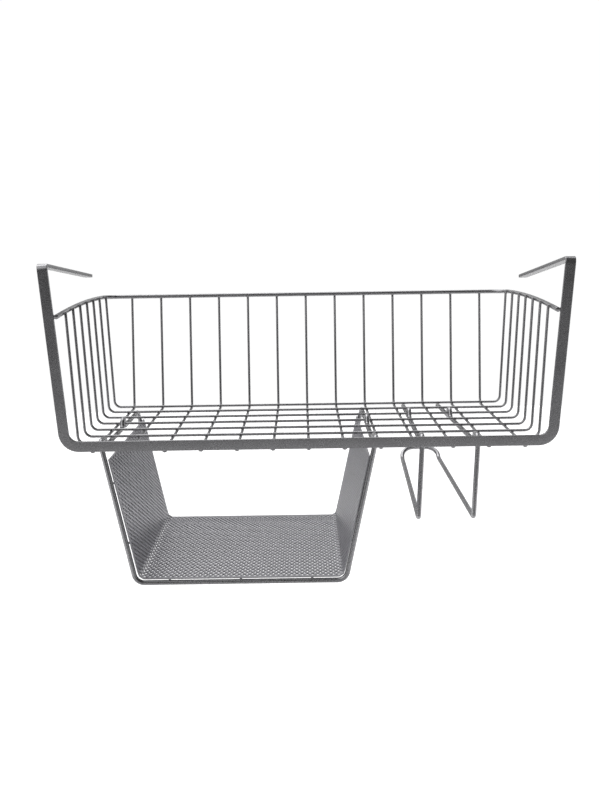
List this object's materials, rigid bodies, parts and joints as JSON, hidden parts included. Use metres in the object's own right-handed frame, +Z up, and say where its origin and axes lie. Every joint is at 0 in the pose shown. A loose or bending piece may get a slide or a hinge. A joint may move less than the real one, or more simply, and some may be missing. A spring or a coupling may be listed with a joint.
{
  "type": "under-shelf basket",
  "caption": "Welded wire basket that hangs under a shelf on a flat strip hanger with arms, with a mesh tray and a wire loop hooked under its floor, which shift sideways.",
  "frame": {"origin": "shelf seat: midway between the arms, at the back of the uprights, level with the undersides of the arms there", "axes": "+X to the right across the basket, +Y away from the front along the arms, +Z up"},
  "size_m": [0.4, 0.2652, 0.2482],
  "materials": {
    "silver_coat": "satin silver-grey metallic powder coat on steel wire and strip",
    "mesh_coat": "satin silver-grey metallic powder coat on expanded steel mesh"
  },
  "bodies": {
    "basket": {"hanger_bar": "silver_coat", "rim_wire": "silver_coat", "cross_wire_1": "silver_coat", "cross_wire_2": "silver_coat", "cross_wire_3": "silver_coat", "cross_wire_4": "silver_coat", "cross_wire_5": "silver_coat", "cross_wire_6": "silver_coat", "cross_wire_7": "silver_coat", "floor_wire_1": "silver_coat", "floor_wire_2": "silver_coat", "floor_wire_3": "silver_coat", "floor_wire_4": "silver_coat", "floor_wire_5": "silver_coat", "floor_wire_6": "silver_coat", "floor_wire_7": "silver_coat", "floor_wire_8": "silver_coat", "floor_wire_9": "silver_coat", "floor_wire_10": "silver_coat", "floor_wire_11": "silver_coat", "floor_wire_12": "silver_coat", "floor_wire_13": "silver_coat"},
    "tray": {"tray_frame": "silver_coat", "tray_mesh": "mesh_coat"},
    "loop": {"loop_hook": "silver_coat"}
  },
  "joints": [
    {"name": "tray_slide", "type": "slide", "parent": "basket", "child": "tray", "axis": [1, 0, 0], "range_m": [-0.002, 0.0007]},
    {"name": "loop_slide", "type": "slide", "parent": "basket", "child": "loop", "axis": [1, 0, 0], "range_m": [-0.002, 0.0033]}
  ]
}
